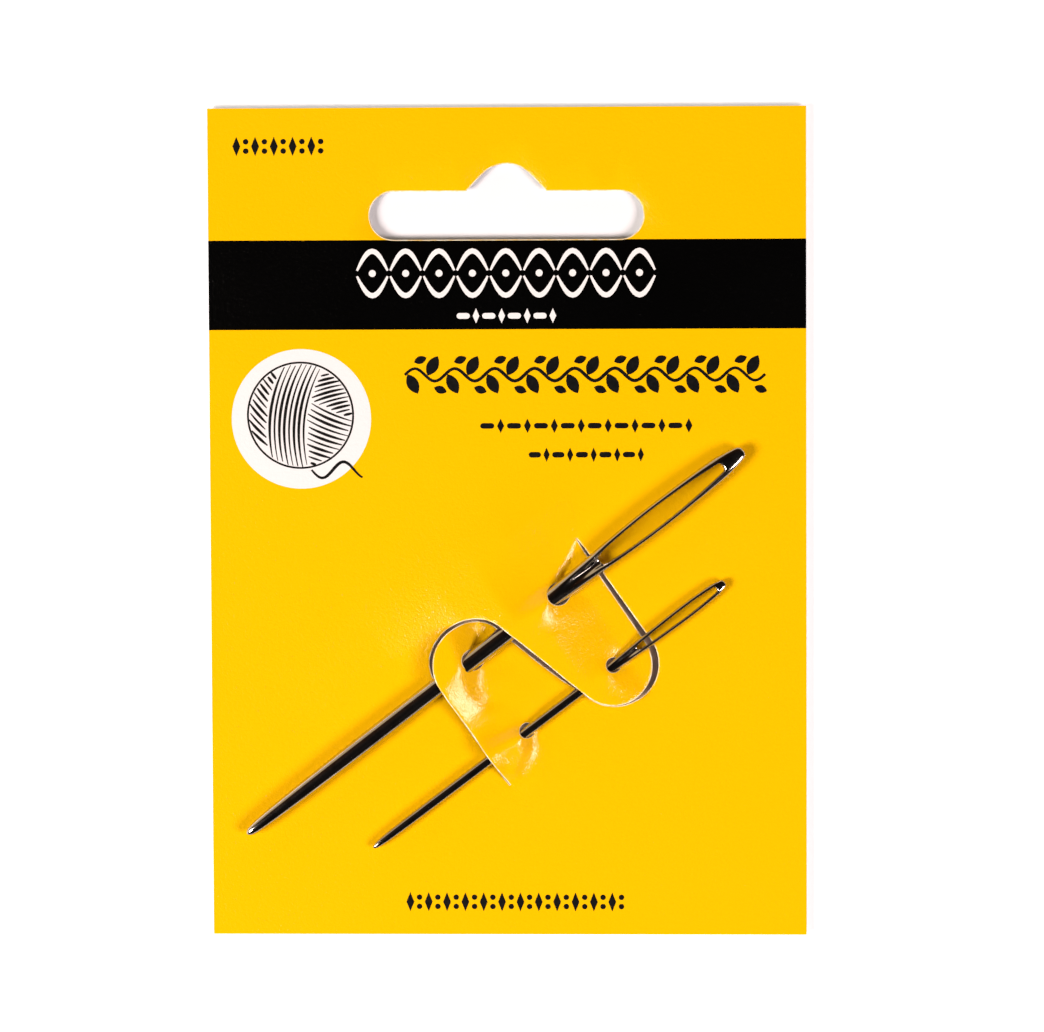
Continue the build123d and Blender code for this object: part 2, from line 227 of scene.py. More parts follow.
def crease(along, across, start, end, height, flank):
    """A sharp crease's extra height, with the same flank on either side."""
    part, away = beside(along, across, start, end)
    rise = ease((part - CREASE_FROM) / CREASE_FADE)
    fall = ease((CREASE_TO - part) / CREASE_FADE)
    return height * rise * fall * clamp(1 - abs(away) / flank)


# The ridge runs from the large needle's right hole to the start of the cut. The
# corner of the tongue beside it tips down over a narrow strip, and is pressed
# down under the needle after the strip, over a width that grows with the drop.
# All this sets in over the ridge's first share.
RIDGE = ((6.1, 6.55), (12.0, 9.15))
RIDGE_START = 0.12
STRIP_WIDTH = 0.44
STRIP_SLOPE = 0.35
STRIP_REACH = 0.5
PRESS_WIDTH = 0.8
PRESS_MINIMUM = 0.15
# Two small creases of the lower sheet, with their heights and flanks
NOTCH = ((-2.8, 8.6), (-4.0, 6.85))
NOTCH_SIZE = (0.1, 0.26)
PLEAT = ((-11.0, -8.4), (-7.3, -6.3))
PLEAT_SIZE = (0.3, 1.3)
# The part of each fold that the mesh follows, and how far to the right of the
# fold it has lines
FOLD_LINES = [
    (RIDGE, 0.1, 0.96, (0, 0.1, 0.33, STRIP_WIDTH)),
    (NOTCH, 0.05, 0.95, (0, 0.25)),
    (PLEAT, 0.0, 0.8, (0, 0.25)),
]


def lift(along, across, upper):
    """How far the board is bent up at a place, above or below the cut."""
    if not in_box((along, across), BENT_BOX):
        return 0.0
    rows = UPPER_ROWS if upper else LOWER_ROWS
    height = 0.0
    for move_along, share_along in SOFT_STEPS:
        for move_across, share_across in SOFT_STEPS:
            height += share_along * share_across * row_height(rows, along + move_along, across + move_across)
    if not upper:
        height += crease(along, across, *NOTCH, *NOTCH_SIZE)
        return height + crease(along, across, *PLEAT, *PLEAT_SIZE)
    part, away = beside(along, across, *RIDGE)
    if away > 0 and 0 < part < 1 and across > LARGE_ACROSS:
        low = row_height(rows, along, LARGE_ACROSS)
        width = max(PRESS_MINIMUM, PRESS_WIDTH * (height - low))
        pressed = height + (low - height) * ease((away - STRIP_WIDTH) / width)
        pressed -= STRIP_SLOPE * min(away, STRIP_REACH)
        height += (max(pressed, 0.0) - height) * ease(part / RIDGE_START)
    return height


# Outlines on the card


def arc(centre, radius, start, end, step):
    """Points on an arc, with both of its ends."""
    count = max(2, int(abs(math.radians(end - start)) * radius / step))
    points = []
    for i in range(count + 1):
        turn = math.radians(start + (end - start) * i / count)
        points.append((centre[0] + radius * math.cos(turn), centre[1] + radius * math.sin(turn)))
    return points


def line(start, end, step):
    """Points on a straight line, with both of its ends."""
    count = max(1, int(math.dist(start, end) / step))
    return [
        (start[0] + (end[0] - start[0]) * i / count, start[1] + (end[1] - start[1]) * i / count)
        for i in range(count + 1)
    ]


def touch_angle(point, centre, radius, side):
    """Where a line from a point touches a circle, as an angle on the circle."""
    dx, dy = point[0] - centre[0], point[1] - centre[1]
    apart = math.degrees(math.acos(radius / math.hypot(dx, dy)))
    return math.degrees(math.atan2(dy, dx)) + side * apart


# Offsets of the lower half's edge and of the upper half's, along each part of the
# cut: the tongues have drawn back from the opening where they are bent
EDGE_ROWS = [
    [(0.0, 0.02, 0.02), (0.12, 0.12, 0.1), (0.4, 0.22, 0.24), (1.0, 0.32, 0.3)],
    [(0.0, 0.32, 0.3), (0.12, 0.4, 0.34), (0.35, 0.42, 0.2), (0.6, 0.18, 0.06), (1.0, 0.12, 0.05)],
    [(0.0, 0.12, 0.05), (0.25, 0.32, 0.12), (0.5, 0.36, 0.3), (0.75, 0.24, 0.42), (1.0, 0.1, 0.45)],
    [(0.0, 0.1, 0.45), (0.1, 0.08, 0.36), (0.25, 0.22, 0.1), (0.4, 0.38, -0.08), (0.6, 0.38, -0.06),
     (0.8, 0.26, 0.24), (1.0, 0.0, 0.26)],
    [(0.0, 0.0, 0.26), (0.15, -0.1, 0.22), (0.6, -0.1, 0.22), (0.9, 0.0, 0.1), (1.0, 0.02, 0.02)],
]


def cut_path():
    """The middle of the S-shaped cut: points, normals and the two edges' offsets."""
    centre = (END_ALONG, -END_ACROSS)
    start = touch_angle((START_ALONG, START_ACROSS), centre, END_RADIUS, -1)
    end = touch_angle((0, 0), centre, END_RADIUS, 1) - 360
    right_arc = arc(centre, END_RADIUS, start, end, CUT_STEP)
    left_arc = [(-x, -y) for x, y in reversed(right_arc)]
    parts = [
        line((START_ALONG, START_ACROSS), right_arc[0], CUT_STEP),
        right_arc,
        line(right_arc[-1], left_arc[0], CUT_STEP),
        left_arc,
        line(left_arc[-1], (-START_ALONG, -START_ACROSS), CUT_STEP),
    ]
    path = []
    for number, part in enumerate(parts):
        for i, point in enumerate(part[:-1] if number < len(parts) - 1 else part):
            path.append((point, number, i / (len(part) - 1)))
    rows = []
    for i, (point, number, part) in enumerate(path):
        before = path[max(i - 1, 0)][0]
        after = path[min(i + 1, len(path) - 1)][0]
        dx, dy = after[0] - before[0], after[1] - before[1]
        size = math.hypot(dx, dy)
        lower, upper = blend_rows(EDGE_ROWS[number], part)
        rows.append((point, (-dy / size, dx / size), lower, upper))
    return rows


def shifted(rows, pick):
    """The cut's path moved sideways by an amount picked from each row."""
    points = []
    for (x, y), (nx, ny), lower, upper in rows:
        offset = pick(lower, upper)
        points.append((x + nx * offset, y + ny * offset))
    return points


def slot_outline(grow):
    """The hanging slot's outline, larger all round by an amount."""
    step = SLOT_STEP
    half = SLOT_HEIGHT / 2
    end_x = SLOT_WIDTH / 2 - half
    centre = (0, SLOT_Y + half + HUMP_RISE - HUMP_RADIUS)
    foot = (HUMP_FOOT / 2, SLOT_Y + half)
    turn = touch_angle(foot, centre, HUMP_RADIUS, 1)
    slope = math.radians(90 - turn)
    foot_x = foot[0] + grow * (1 - math.cos(slope)) / math.sin(slope)
    top = SLOT_Y + half + grow
    hump = arc(centre, HUMP_RADIUS + grow, turn, 180 - turn, step)
    points = arc((end_x, SLOT_Y), half + grow, -90, 90, step)
    points += line(points[-1], (foot_x, top), step)[1:]
    points += line(points[-1], hump[0], step)[1:]
    points += hump[1:]
    points += line(points[-1], (-foot_x, top), step)[1:]
    points += line(points[-1], (-end_x, top), step)[1:]
    points += arc((-end_x, SLOT_Y), half + grow, 90, 270, step)[1:]
    points += line(points[-1], points[0], step)[1:-1]
    return points


def inside(point, polygon):
    """Whether a point lies in a closed polygon."""
    x, y = point
    found = False
    for (ax, ay), (bx, by) in zip(polygon, polygon[1:] + polygon[:1]):
        if (ay > y) != (by > y) and x < (bx - ax) * (y - ay) / (by - ay) + ax:
            found = not found
    return found


class Region:
    """A closed polygon with a box around it, for quick tests."""

    def __init__(self, points):
        self.points = points
        xs = [p[0] for p in points]
        ys = [p[1] for p in points]
        self.box = (min(xs), min(ys), max(xs), max(ys))

    def holds(self, point):
        return in_box(point, self.box) and inside(point, self.points)


# Meshes


def make_object(name, points, faces, materials, slots=None, smooth=True):
    """A mesh object from points in millimetres."""
    mesh = bpy.data.meshes.new(name)
    mesh.from_pydata([Vector(p) * MM for p in points], [], faces)
    for material in materials:
        mesh.materials.append(material)
    if slots:
        mesh.polygons.foreach_set("material_index", slots)
    mesh.polygons.foreach_set("use_smooth", [smooth] * len(mesh.polygons))
    mesh.validate()
    obj = bpy.data.objects.new(name, mesh)
    bpy.context.scene.collection.objects.link(obj)
    return obj


# The card's materials, in the order of its slots
PRINTED, LINER, BACK, CORE = range(4)


class Plan:
    """The points and lines that the card's mesh follows."""

    def __init__(self):
        self.points = []
        self.edges = []
        self.edge_points = set()

    def add_loop(self, loop, closed=True, edge=False):
        first = len(self.points)
        self.points.extend(loop)
        for i in range(len(loop) - 1):
            self.edges.append((first + i, first + i + 1))
        if closed:
            self.edges.append((first + len(loop) - 1, first))
        if edge:
            self.edge_points.update(range(first, len(self.points)))


def hole_region(hole, grow):
    """A punched hole, larger all round by an amount."""
    along, across, radius = hole
    return Region(arc(to_card(along, across), radius + grow, 0, 360, HOLE_STEP)[:-1])


def card_outline():
    """The card's rectangle, in steps along its sides."""
    x, y = CARD_WIDTH / 2, CARD_HEIGHT / 2
    corners = [(-x, -y), (x, -y), (x, y), (-x, y)]
    outline = []
    for start, end in zip(corners, corners[1:] + corners[:1]):
        outline += line(start, end, PLAIN_STEP / 2)[:-1]
    return outline


def fold_lines():
    """The mesh's lines along each fold, in the card's frame."""
    found = []
    for (start, end), first, last, sides in FOLD_LINES:
        dx, dy = end[0] - start[0], end[1] - start[1]
        for side in (distance / math.hypot(dx, dy) for distance in sides):
            ends = [(start[0] + dx * t + dy * side, start[1] + dy * t - dx * side) for t in (first, last)]
            found.append([to_card(*p) for p in line(*ends, FOLD_STEP)])
    return found


def fine_grid(tree):
    """Points on the bent part, with every other row shifted by half a step."""
    points = []
    count = int(BENT_HALF / BENT_STEP)
    for i in range(-count, count + 1):
        for j in range(-count, count + 1):
            shift = BENT_STEP / 2 if j % 2 else 0
            x, y = to_card(i * BENT_STEP + shift, j * BENT_STEP)
            if tree.find((x, y, 0))[2] > BENT_GAP:
                points.append((x, y))
    return points


def coarse_grid(tree, step, outer, inner):
    """Points between two boxes in the cut's frame, away from the card's lines."""
    points = []
    count = int(CARD_HEIGHT / step)
    for i in range(-count, count + 1):
        for j in range(-count, count + 1):
            place = (i * step, (j + 0.5 * (i % 2)) * step)
            if in_box(place, inner) or not in_box(place, outer):
                continue
            x, y = to_card(*place)
            beyond = max(abs(x) - CARD_WIDTH / 2, abs(y) - CARD_HEIGHT / 2)
            if beyond < -EDGE_GAP and tree.find((x, y, 0))[2] > PLAIN_GAP:
                points.append((x, y))
    return points


def card_plan():
    """The card in plan: points, triangles, and what each of them is."""
    rows = cut_path()
    lower_edge = shifted(rows, lambda lower, upper: lower)
    upper_edge = shifted(rows, lambda lower, upper: -upper)
    lower_rim = [to_card(*p) for p in shifted(rows, lambda lower, upper: lower + RIM)]
    upper_rim = [to_card(*p) for p in shifted(rows, lambda lower, upper: -upper - RIM)]
    middle = shifted(rows, lambda lower, upper: (lower - upper) / 2)
    far = CARD_HEIGHT
    above = Region(middle + [(-far, -START_ACROSS), (-far, far), (far, far), (far, START_ACROSS)])
    slit = Region([to_card(*p) for p in lower_edge + upper_edge[::-1]])
    openings = [Region(slot_outline(0)), slit] + [hole_region(hole, 0) for hole in HOLES]
    closed_rims = [Region(slot_outline(RIM))] + [hole_region(hole, HOLE_RIM) for hole in HOLES]

    plan = Plan()
    plan.add_loop(card_outline())
    for region in openings:
        plan.add_loop(region.points, edge=True)
    for region in closed_rims:
        plan.add_loop(region.points)
    for loop in [lower_rim, upper_rim] + fold_lines():
        plan.add_loop(loop, closed=False)

    tree = KDTree(len(plan.points))
    for i, (x, y) in enumerate(plan.points):
        tree.insert((x, y, 0), i)
    tree.balance()
    reach = BENT_HALF + PLAIN_GAP
    points = plan.points + fine_grid(tree)
    points += coarse_grid(tree, MIDDLE_STEP, BENT_BOX, (-reach, -reach, reach, reach))
    points += coarse_grid(tree, PLAIN_STEP, (-far, -far, far, far), BENT_BOX)

    found = delaunay_2d_cdt([Vector(p) for p in points], plan.edges, [], 0, MERGE_GAP)
    verts, _, faces, sources, _, _ = found
    rims = closed_rims + [Region(lower_rim + upper_rim[::-1])]
    kept = []
    slots = []
    for face in faces:
        centre = sum((verts[i] for i in face), Vector((0, 0))) / len(face)
        if any(region.holds(centre) for region in openings):
            continue
        kept.append(tuple(face))
        slots.append(LINER if any(region.holds(centre) for region in rims) else PRINTED)
    rim_verts = {i for i, source in enumerate(sources) if any(k in plan.edge_points for k in source)}
    return verts, kept, slots, rim_verts, above


# Edges that turn by more than this, in degrees, are drawn sharp
SHARP_ANGLE = 32


def make_card(materials):
    """The printed card: its bent sheet, its cut walls and its plain back."""
    verts, faces, slots, rim_verts, above = card_plan()
    count = len(verts)
    face_points = []
    back_points = []
    for i, (x, y) in enumerate(verts):
        along, across = to_cut(x, y)
        height = lift(along, across, above.holds((along, across)))
        drop = RIM_DROP if i in rim_verts else 0
        face_points.append((x, y, height + BOARD - drop))
        back_points.append((x, y, face_points[i][2] - BOARD + drop))
    points = face_points + back_points
    all_faces = faces + [tuple(i + count for i in reversed(face)) for face in faces]
    all_slots = slots + [BACK] * len(faces)
    sides = dict.fromkeys(side for face in faces for side in zip(face, face[1:] + face[:1]))
    for a, b in sides:
        if (b, a) not in sides:
            all_faces.append((b, a, a + count, b + count))
            all_slots.append(CORE)
    card = make_object("card_board", points, all_faces, materials, all_slots)
    card.data.set_sharp_from_angle(angle=math.radians(SHARP_ANGLE))
    return card


# Needles

# A ring's steps in a quarter, the slit between its two halves as a share of
# the width, at least and at most, and how square the head's end becomes
RING_QUARTER = 4
SLIT_SHARE = 0.2
SLIT_LIMIT = 0.98
SQUARENESS = 0.45
# The arms beside the eye: the first angle and the sweep of their round section,
# how round they are, and over what length they become so
ARM_START = -55
ARM_SWEEP = 145
ARM_ROUNDNESS = 0.8
ARM_BLEND = 2.5
# How far before the eye's end the head starts to flatten, and how far a needle
# reaches past its first and last ring, as a share of the ring's width
HEAD_START = 1.5
TIP_REACH = 0.18
SMOOTH_LEVELS = 3


def ring(distance, half_width, half_depth, eye, gutter, flat, arm):
    """One ring of a needle's cage, in the needle's own frame."""
    inner = max(eye, half_width * SLIT_SHARE)
    first = math.asin(min(inner / half_width, SLIT_LIMIT))
    power = 1 - SQUARENESS * flat
    middle, reach = (half_width + inner) / 2, (half_width - inner) / 2
    half = []
    for k in range(RING_QUARTER + 1):
        turn = first + (math.pi / 2 - first) * k / RING_QUARTER
        side = half_width * math.sin(turn) ** power
        up = half_depth * max(math.cos(turn), 0) ** power
        turn = math.radians(ARM_START + ARM_SWEEP * k / RING_QUARTER)
        round_side, round_up = middle + reach * math.sin(turn), half_depth * math.cos(turn)
        half.append((side + (round_side - side) * arm, up + (round_up - up) * arm))
    half[0] = (half[0][0], half[0][1] - gutter)
    right = half + [(y, -z) for y, z in reversed(half[:-1])]
    left = [(-y, z) for y, z in reversed(right)]
    return [(distance, y, z) for y, z in right + left]


def make_needle(name, place, rows, eye_rows, gutter_rows, material):
    """A needle as a subdivided cage, with a real eye through its head."""
    start, direction, height = place
    eye_start, eye_end = eye_rows[0][0], eye_rows[-1][0]
    sideways = (-direction[1], direction[0])
    points = []
    faces = []
    rings = []
    for distance, width, depth in rows:
        in_eye = eye_start <= distance <= eye_end
        eye = blend_rows(eye_rows, distance)[0] / 2 if in_eye else 0
        gutter = blend_rows(gutter_rows, distance)[0]
        flat = ease((distance - eye_end + HEAD_START) / ARM_BLEND)
        rings.append((len(points), in_eye))
        arm = ARM_ROUNDNESS * ease(min(distance - eye_start, eye_end - distance) / ARM_BLEND)
        points += ring(distance, width / 2, depth / 2, eye, gutter, flat, arm)
    size = 4 * RING_QUARTER + 2
    half = size // 2
    for (first, eye_here), (second, eye_next) in zip(rings, rings[1:]):
        for k in range(size):
            following = (k + 1) % size
            strip = k in (half - 1, size - 1)
            if strip and eye_here and eye_next:
                continue
            faces.append((first + k, second + k, second + following, first + following))
        if eye_here and eye_next:
            faces.append((first, first + half - 1, second + half - 1, second))
            faces.append((first + half, first + size - 1, second + size - 1, second + half))
    for number, (first, eye_here) in enumerate(rings):
        starts = eye_here and not rings[number - 1][1]
        ends = eye_here and not rings[number + 1][1]
        corners = (first, first + half - 1, first + half, first + size - 1)
        if starts:
            faces.append(corners[::-1])
        if ends:
            faces.append(corners)
    for first, tip in ((rings[0][0], rows[0]), (rings[-1][0], rows[-1])):
        out = -1 if first == 0 else 1
        points.append((tip[0] + out * tip[1] * TIP_REACH, 0, 0))
        for k in range(size):
            pair = (first + k, first + (k + 1) % size)
            faces.append((*(pair if out < 0 else pair[::-1]), len(points) - 1))
    placed = []
    for along, side, up in points:
        x = start[0] + direction[0] * along + sideways[0] * side
        y = start[1] + direction[1] * along + sideways[1] * side
        placed.append((x, y, height + up))
    needle = make_object(name, placed, faces, [material])
    modifier = needle.modifiers.new("subdivision", "SUBSURF")
    modifier.levels = SMOOTH_LEVELS
    modifier.render_levels = SMOOTH_LEVELS
    return needle


def needle_place(along, across, skew, height):
    """Where a needle's tip is, its direction and the height of its axis."""
    turn = math.radians(CUT_ANGLE + skew)
    direction = (math.cos(turn), math.sin(turn))
    middle = to_card(0, across)
    reach = along / math.cos(math.radians(skew))
    tip = (middle[0] + direction[0] * reach, middle[1] + direction[1] * reach)
    return tip, direction, height


# The needles' sections: distance from the tip, width, depth. An eye has its
# width at each distance, and a gutter its depth.
LARGE_ROWS = [
    (0.08, 0.34, 0.34), (0.28, 0.78, 0.78), (0.7, 1.12, 1.12), (1.3, 1.33, 1.33), (2.2, 1.52, 1.52),
    (3.6, 1.67, 1.67), (6.0, 1.85, 1.85), (9.2, 2.0, 2.0), (13.5, 2.13, 2.13), (17.7, 2.2, 2.2),
    (24.0, 2.2, 2.2), (31.0, 2.2, 2.2), (38.0, 2.2, 2.2), (43.0, 2.2, 2.2), (45.0, 2.22, 2.19),
    (46.5, 2.26, 2.18), (47.6, 2.32, 2.16), (48.6, 2.38, 2.14), (50.0, 2.48, 2.12),
    (51.4, 2.6, 2.1), (52.3, 2.68, 2.08), (52.8, 2.72, 2.08),
    (53.3, 2.77, 2.07), (54.2, 2.85, 2.05), (56.0, 3.0, 2.02), (58.9, 3.17, 1.98), (61.5, 3.22, 1.95),
    (64.5, 3.17, 1.92), (67.4, 3.05, 1.9), (69.4, 2.93, 1.88), (70.4, 2.8, 1.84), (70.85, 2.68, 1.8),
    (71.5, 2.45, 1.7), (72.4, 2.12, 1.5), (73.3, 1.75, 1.2), (73.85, 1.3, 0.85),
]
LARGE_EYE = [
    (52.8, 0.8), (53.3, 1.12), (54.2, 1.38), (56.0, 1.6), (58.9, 1.82), (61.5, 1.9),
    (64.5, 1.72), (67.4, 1.38), (69.4, 1.1), (70.4, 0.8), (70.85, 0.6),
]
LARGE_GUTTER = [
    (45.0, 0.0), (46.5, 0.04), (47.6, 0.15), (48.6, 0.28), (50.0, 0.47), (51.4, 0.655),
    (52.3, 0.74), (52.8, 0.7), (54.0, 0.0),
]
SMALL_ROWS = [
    (0.08, 0.28, 0.28), (0.3, 0.56, 0.56), (0.8, 0.82, 0.82), (1.7, 1.0, 1.0), (2.8, 1.1, 1.1),
    (5.0, 1.2, 1.2), (9.0, 1.25, 1.25), (16.0, 1.25, 1.25), (23.0, 1.25, 1.25), (30.0, 1.25, 1.25),
    (34.5, 1.27, 1.25), (35.9, 1.32, 1.24), (37.0, 1.38, 1.23), (38.2, 1.48, 1.22), (38.8, 1.53, 1.21),
    (39.15, 1.56, 1.2), (39.6, 1.6, 1.2), (40.5, 1.66, 1.18), (42.0, 1.73, 1.17), (44.3, 1.87, 1.15),
    (46.5, 1.9, 1.15), (48.2, 1.85, 1.13), (49.6, 1.75, 1.12), (50.4, 1.64, 1.1), (50.75, 1.55, 1.08),
    (51.1, 1.38, 1.0), (51.6, 1.1, 0.85), (51.95, 0.8, 0.6),
]
SMALL_EYE = [
    (39.15, 0.36), (39.6, 0.52), (40.5, 0.58), (42.0, 0.66), (44.3, 0.78), (46.5, 0.86),
    (48.2, 0.78), (49.6, 0.64), (50.4, 0.48), (50.75, 0.36),
]
SMALL_GUTTER = [
    (34.5, 0.0), (35.9, 0.08), (37.0, 0.2), (38.2, 0.34), (38.8, 0.4), (39.15, 0.36),
    (39.9, 0.0),
]


# Printed ornaments

# Thicknesses of the drawn lines, and how thin their ends are as a share
CABLE_LINE = 0.62
VINE_LINE = 0.4
BALL_LINE = 0.22
YARN_LINE = 0.34
THIN_YARN_LINE = 0.24
LAST_YARN_LINE = 0.3
TAIL_LINE = 0.36
LINE_ENDS = 0.3
BEAD_RADIUS = 0.42


def leaf(centre, length, width, lean):
    """A closed leaf, pointed at both ends."""
    points = []
    turn = math.radians(lean)
    count = 9
    for i in range(2 * count):
        part = (i % count) / count
        side = 1 if i < count else -1
        along = (part - 0.5) * length * side
        wide = side * width / 2 * math.sin(math.pi * part) ** 0.8
        x = centre[0] + along * math.cos(turn) - wide * math.sin(turn)
        y = centre[1] + along * math.sin(turn) + wide * math.cos(turn)
        points.append((x, y))
    return points


def bar(centre, length, height):
    """A level bar with round ends."""
    half = length / 2 - height / 2
    right, left = (centre[0] + half, centre[1]), (centre[0] - half, centre[1])
    return arc(right, height / 2, -90, 90, height / 4) + arc(left, height / 2, 90, 270, height / 4)


def dot(centre, radius):
    return arc(centre, radius, 0, 360, radius / 2)[:-1]


def diamond(centre, width, height):
    x, y = centre
    return [(x + width / 2, y), (x, y + height / 2), (x - width / 2, y), (x, y - height / 2)]


def strand(points, thickness, taper=LINE_ENDS):
    """A line of ink that swells in its middle, as a row of quads."""
    count = len(points)
    sides = []
    for i, (x, y) in enumerate(points):
        before = points[max(i - 1, 0)]
        after = points[min(i + 1, count - 1)]
        dx, dy = after[0] - before[0], after[1] - before[1]
        size = math.hypot(dx, dy) or 1
        wide = thickness / 2 * (taper + (1 - taper) * math.sin(math.pi * (i + 0.5) / count))
        nx, ny = dy / size * wide, dx / size * wide
        sides.append(((x - nx, y + ny), (x + nx, y - ny)))
    return [[a, b, d, c] for (a, b), (c, d) in zip(sides, sides[1:])]


def cable_row(centre, width, height, turns):
    """Two strands of yarn that cross each other like a cable, with a bead in each loop."""
    shapes = []
    rise = height / 2 - 0.2
    gap = 0.04
    steps = 12
    for side in (-1, 1):
        for i in range(turns):
            points = []
            for j in range(steps + 1):
                part = gap + (1 - 2 * gap) * j / steps
                x = centre[0] - width / 2 + width * (i + part) / turns
                points.append((x, centre[1] + side * rise * math.sin(math.pi * part) * (-1) ** i))
            shapes += strand(points, CABLE_LINE)
    for i in range(turns):
        shapes.append(dot((centre[0] - width / 2 + width * (i + 0.5) / turns, centre[1]), BEAD_RADIUS))
    return shapes


def vine_row(centre, width, height, count):
    """A winding stem with a leaf in each bend."""
    stem = []
    steps = count * 8
    for i in range(steps + 1):
        part = i / steps
        sway = 0.16 * height * math.sin(math.pi * part * count)
        stem.append((centre[0] + width * (part - 0.5), centre[1] + sway))
    shapes = strand(stem, VINE_LINE, 0.8)
    for i in range(count):
        side = (-1) ** i
        x = centre[0] + width * ((i + 0.5) / count - 0.5)
        big = (x - 0.25, centre[1] - side * height * 0.23)
        shapes.append(leaf(big, height * 0.56, height * 0.3, -side * 62))
        bud = (x + 0.65, centre[1] + side * height * 0.38)
        shapes.append(leaf(bud, height * 0.34, height * 0.2, side * 20))
    return shapes


def running_row(centre, width, height, count):
    """A row of running stitches with small diamonds between them."""
    step = width / count
    shapes = []
    for i in range(count):
        x = centre[0] - width / 2 + step * (i + 0.5)
        shapes.append(bar((x - step * 0.17, centre[1]), step * 0.52, height * 0.27))
        shapes.append(diamond((x + step * 0.33, centre[1]), step * 0.26, height * 0.7))
    return shapes


def bead_row(centre, width, height, count):
    """A row of beads: diamonds between pairs of dots."""
    step = width / count
    shapes = []
    for i in range(count):
        x = centre[0] - width / 2 + step * (i + 0.5)
        shapes.append(diamond((x, centre[1]), step * 0.42, height * 0.9))
        for side in (-1, 1):
            shapes.append(dot((x + step / 2, centre[1] + side * height * 0.22), height * 0.13))
    return shapes


def ring_shape(centre, radius, thickness):
    """A thin closed ring, as quads between two circles."""
    outer = arc(centre, radius, 0, 360, 0.35)[:-1]
    share = (radius - thickness) / radius
    inner = [(centre[0] + (x - centre[0]) * share, centre[1] + (y - centre[1]) * share) for x, y in outer]
    return [[outer[i - 1], outer[i], inner[i], inner[i - 1]] for i in range(len(outer))]


# The ball's wound bundles: lean in degrees, lowest and highest strand, and how
# many. A later bundle lies over the ones before it.
BUNDLES = [(30, -0.93, 0.93, 23), (146, -0.5, 0.62, 12), (82, -0.28, 0.36, 8)]
STRAND_BULGE = 0.2
BUNDLE_MARGIN = 0.05


def turned(x, y, degrees):
    turn = math.radians(degrees)
    return x * math.cos(turn) - y * math.sin(turn), x * math.sin(turn) + y * math.cos(turn)


def under_bundle(x, y, bundles):
    """Whether one of some bundles covers a place on the ball."""
    for lean, low, high, _ in bundles:
        u, v = turned(x, y, -lean)
        if low - BUNDLE_MARGIN < v - STRAND_BULGE * (1 - u * u) < high + BUNDLE_MARGIN:
            return True
    return False


def yarn_ball(centre, radius):
    """A wound ball of yarn with a loose end, drawn in fine lines."""
    shapes = ring_shape(centre, radius, BALL_LINE)
    steps = 40
    for number, (lean, low, high, count) in enumerate(BUNDLES):
        for i in range(count):
            offset = low + (high - low) * i / (count - 1)
            piece = []
            for j in range(steps + 1):
                u = -1 + j / (steps / 2)
                x, y = turned(u, offset + STRAND_BULGE * (1 - u * u), lean)
                if math.hypot(x, y) < 0.97 and not under_bundle(x, y, BUNDLES[number + 1 :]):
                    piece.append((centre[0] + x * radius, centre[1] + y * radius))
                    continue
                if len(piece) > 2:
                    shapes += strand(piece, YARN_LINE if i % 3 else THIN_YARN_LINE)
                piece = []
            if len(piece) > 2:
                shapes += strand(piece, LAST_YARN_LINE)
    # The loose end runs out below the ball in a wave
    tail = []
    steps = 26
    for i in range(steps + 1):
        part = i / steps
        x = centre[0] + radius * (0.2 + 0.95 * part)
        tail.append((x, centre[1] - radius * (1.02 + 0.15 * math.sin(part * 7.5))))
    return shapes + strand(tail, TAIL_LINE, 0.6)


# How far the ink stands off the board, and how thick it is
INK_LIFT = 0.008
INK_DEPTH = 0.01


def make_ink(name, shapes, material):
    """Printed shapes as a thin layer of ink on the card's face."""
    points = []
    faces = []
    for shape in shapes:
        first = len(points)
        count = len(shape)
        lows = [lift(*to_cut(x, y), True) + BOARD + INK_LIFT for x, y in shape]
        points += [(x, y, low + INK_DEPTH) for (x, y), low in zip(shape, lows)]
        points += [(x, y, low) for (x, y), low in zip(shape, lows)]
        faces.append(tuple(range(first, first + count)))
        faces.append(tuple(range(first + 2 * count - 1, first + count - 1, -1)))
        for i in range(count):
            j = (i + 1) % count
            faces.append((first + j, first + i, first + count + i, first + count + j))
    return make_object(name, points, faces, [material], smooth=False)


# Materials


